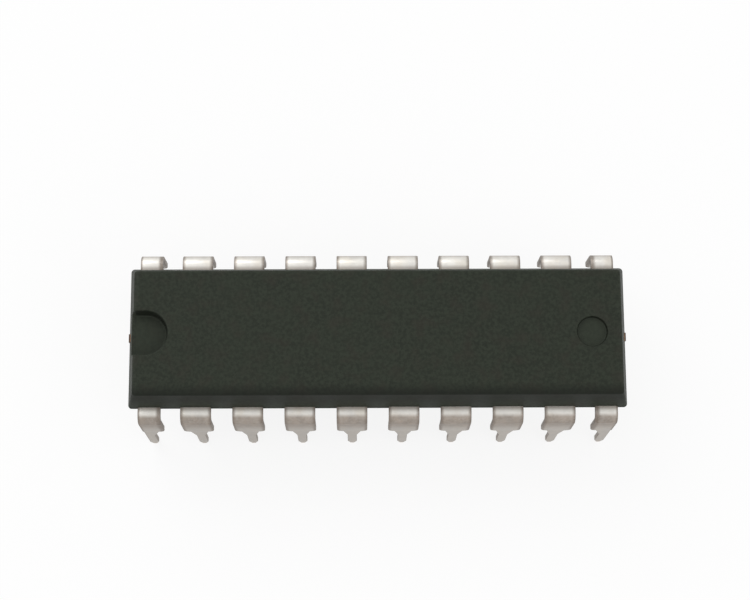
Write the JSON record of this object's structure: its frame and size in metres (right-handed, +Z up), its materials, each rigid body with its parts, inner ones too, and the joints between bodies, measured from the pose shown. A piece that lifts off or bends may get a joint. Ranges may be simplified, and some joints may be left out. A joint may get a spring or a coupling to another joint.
{
  "type": "dual in-line integrated circuit",
  "caption": "Plastic dual in-line integrated circuit with an end notch, a round dimple and two rows of bent tin-plated leads.",
  "frame": {"origin": "middle of the package at the height of the lead tips", "axes": "+X along the body away from the notched end, +Y towards the rear row of leads, +Z up from the lead tips to the top face"},
  "size_m": [0.0244, 0.0088, 0.0071],
  "materials": {
    "mould_compound": "fine matt as moulded",
    "tinned_lead": "satin matt tin plating",
    "leadframe_copper": "rolled copper alloy, cut bare at the ends of the tie bars",
    "die_adhesive": "cured silver-filled epoxy",
    "silicon": "polished silicon",
    "gold_wire": "drawn gold"
  },
  "bodies": {
    "root": {"body": "mould_compound", "die_pad": "leadframe_copper", "die_attach": "die_adhesive", "silicon_die": "silicon", "lead_01": "tinned_lead", "lead_02": "tinned_lead", "lead_03": "tinned_lead", "lead_04": "tinned_lead", "lead_05": "tinned_lead", "lead_06": "tinned_lead", "lead_07": "tinned_lead", "lead_08": "tinned_lead", "lead_09": "tinned_lead", "lead_10": "tinned_lead", "lead_11": "tinned_lead", "lead_12": "tinned_lead", "lead_13": "tinned_lead", "lead_14": "tinned_lead", "lead_15": "tinned_lead", "lead_16": "tinned_lead", "lead_17": "tinned_lead", "lead_18": "tinned_lead", "lead_19": "tinned_lead", "lead_20": "tinned_lead", "bond_wire_01": "gold_wire", "bond_wire_02": "gold_wire", "bond_wire_03": "gold_wire", "bond_wire_04": "gold_wire", "bond_wire_05": "gold_wire", "bond_wire_06": "gold_wire", "bond_wire_07": "gold_wire", "bond_wire_08": "gold_wire", "bond_wire_09": "gold_wire", "bond_wire_10": "gold_wire", "bond_wire_11": "gold_wire", "bond_wire_12": "gold_wire", "bond_wire_13": "gold_wire", "bond_wire_14": "gold_wire", "bond_wire_15": "gold_wire", "bond_wire_16": "gold_wire", "bond_wire_17": "gold_wire", "bond_wire_18": "gold_wire", "bond_wire_19": "gold_wire", "bond_wire_20": "gold_wire"}
  },
  "joints": []
}
